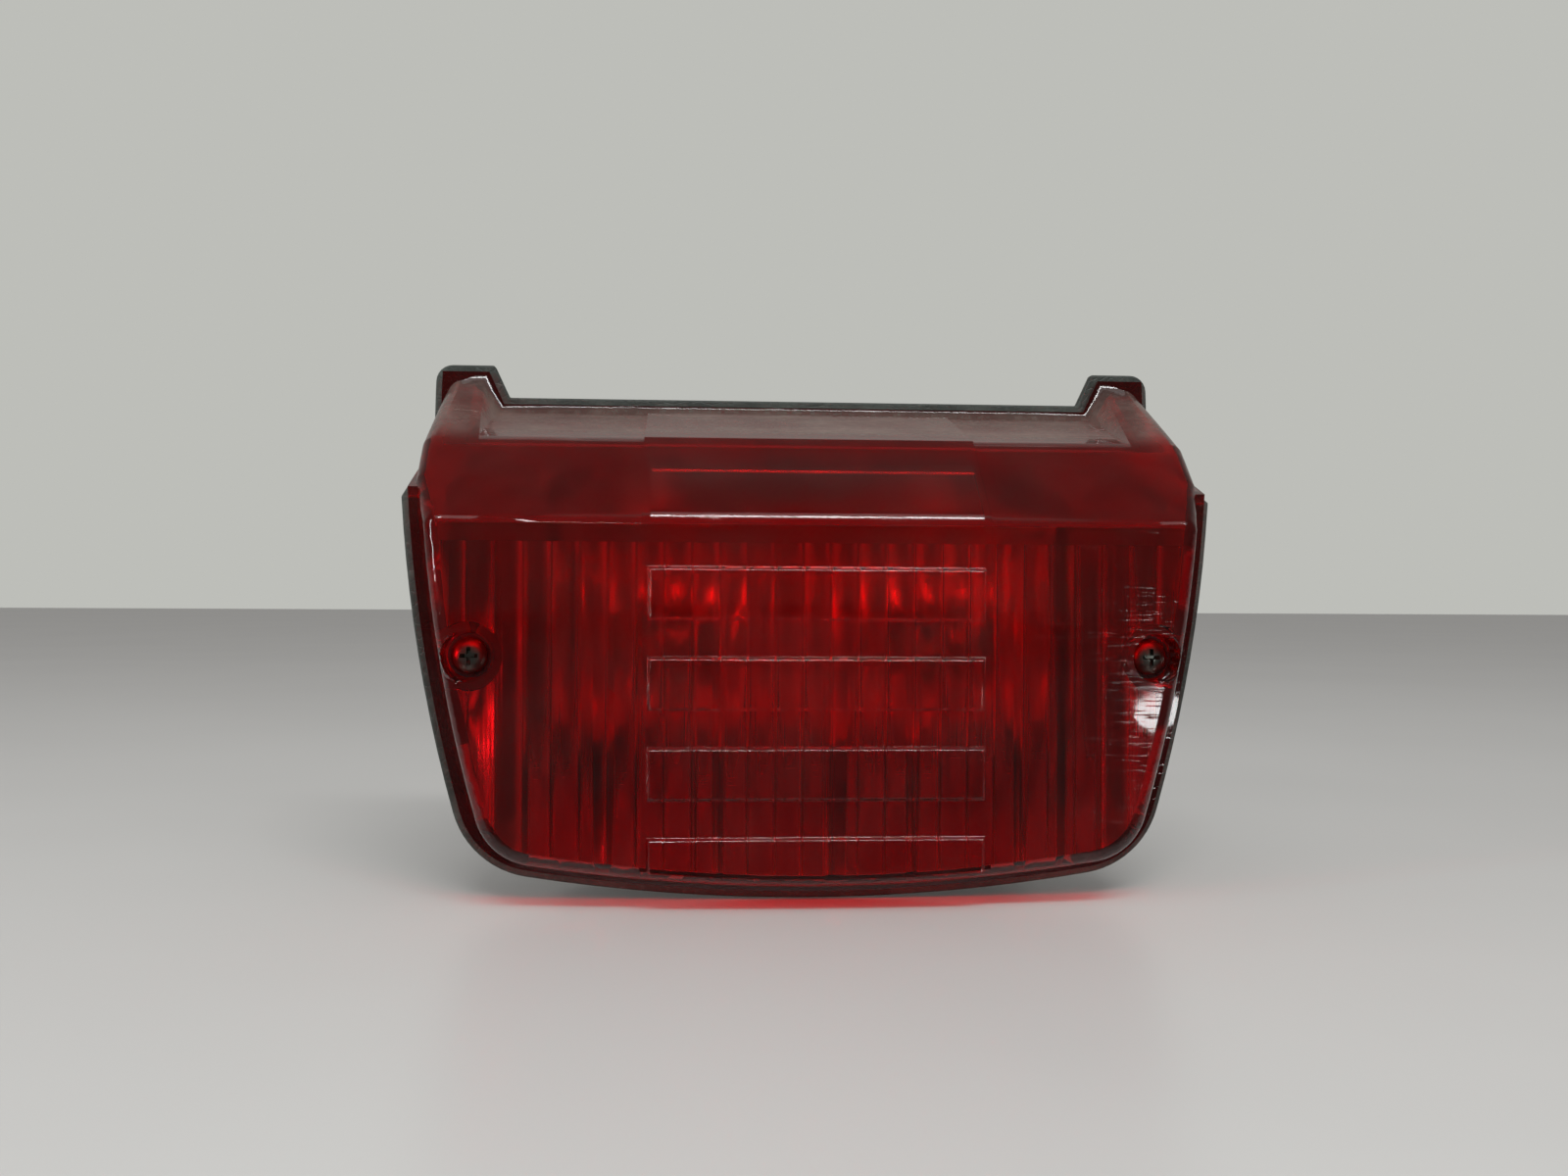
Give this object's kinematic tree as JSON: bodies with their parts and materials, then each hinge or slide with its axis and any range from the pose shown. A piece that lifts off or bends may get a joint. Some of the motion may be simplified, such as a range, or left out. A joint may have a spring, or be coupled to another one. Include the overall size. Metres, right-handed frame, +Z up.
{
  "type": "motorcycle tail light",
  "caption": "Motorcycle tail light: ribbed red lens with corner ears over a rubber gasket, housing with bayonet bulbs, and a rubber-mounted bracket.",
  "frame": {"origin": "centre of the bracket's bolt holes, on its mounting face", "axes": "+X along the lamp's width, to the right as seen from in front of the lens; +Z up; the lens faces -Y and the mounting face looks along +Y"},
  "size_m": [0.1836, 0.0898, 0.1257],
  "materials": {
    "red_lens": "glossy moulded acrylic, aged",
    "gasket_rubber": "perished moulded rubber",
    "housing_plastic": "moulded, slightly textured",
    "clear_window": "clear moulded acrylic",
    "brass_insert": "knurled brass",
    "zinc_screws": "dulled zinc plate",
    "seal_rubber": "soft rubber",
    "inner_screws": "bright zinc plate",
    "reflector_chrome": "plated reflector",
    "plated_steel": "zinc plated",
    "stud_zinc": "yellow zinc plate",
    "damper_rubber": "black rubber",
    "zinc_hardware": "zinc plate",
    "bracket_paint": "satin black paint",
    "phenolic": "brown phenolic",
    "contact_brass": "bare brass",
    "spring_steel": "spring wire",
    "cap_brass": "nickel-washed brass",
    "bulb_glass": "clear blown glass",
    "solder": "dull solder",
    "stem_glass": "clear glass",
    "tungsten": "drawn wire"
  },
  "bodies": {
    "lamp": {"damper_collars": "plated_steel", "gasket": "gasket_rubber", "housing": "housing_plastic", "lens": "red_lens", "lens_screw_washers": "seal_rubber", "lens_screws": "zinc_screws", "lock_washers": "zinc_hardware", "mounting_bracket": "bracket_paint", "mounting_nuts": "zinc_hardware", "mounting_studs": "stud_zinc", "plain_washers": "zinc_hardware", "plate_window": "clear_window", "reflector": "reflector_chrome", "reflector_screws": "inner_screws", "rubber_dampers": "damper_rubber", "socket_insulator_left": "phenolic", "socket_insulator_right": "phenolic", "socket_shell_left": "plated_steel", "socket_shell_right": "plated_steel", "socket_strap": "plated_steel", "socket_terminals_left": "contact_brass", "socket_terminals_right": "contact_brass", "strap_screws": "inner_screws", "threaded_inserts": "brass_insert", "wire_grommet": "damper_rubber"},
    "carrier_left": {"contact_carrier_left": "phenolic", "contact_pips_left": "contact_brass", "contact_spring_left": "spring_steel"},
    "carrier_right": {"contact_carrier_right": "phenolic", "contact_pips_right": "contact_brass", "contact_spring_right": "spring_steel"},
    "bulb_left": {"bulb_cap_left": "cap_brass", "bulb_contacts_left": "solder", "bulb_filaments_left": "tungsten", "bulb_glass_left": "bulb_glass", "bulb_stem_left": "stem_glass"},
    "bulb_right": {"bulb_cap_right": "cap_brass", "bulb_contacts_right": "solder", "bulb_filaments_right": "tungsten", "bulb_glass_right": "bulb_glass", "bulb_stem_right": "stem_glass"}
  },
  "joints": [
    {"name": "push_left", "type": "slide", "parent": "lamp", "child": "carrier_left", "axis": [0, 1, 0], "range_m": [0, 0.0015], "stiffness_N_per_m": 2000, "springref_m": -0.003, "deforming": ["contact_spring_left"]},
    {"name": "twist_left", "type": "hinge", "parent": "carrier_left", "child": "bulb_left", "pos_m": [-0.031, -0.034, -0.008], "axis": [0, 1, 0], "range_deg": [0, 20]},
    {"name": "push_right", "type": "slide", "parent": "lamp", "child": "carrier_right", "axis": [0, 1, 0], "range_m": [0, 0.0015], "stiffness_N_per_m": 2000, "springref_m": -0.003, "deforming": ["contact_spring_right"]},
    {"name": "twist_right", "type": "hinge", "parent": "carrier_right", "child": "bulb_right", "pos_m": [0.031, -0.034, -0.008], "axis": [0, 1, 0], "range_deg": [0, 20]}
  ]
}
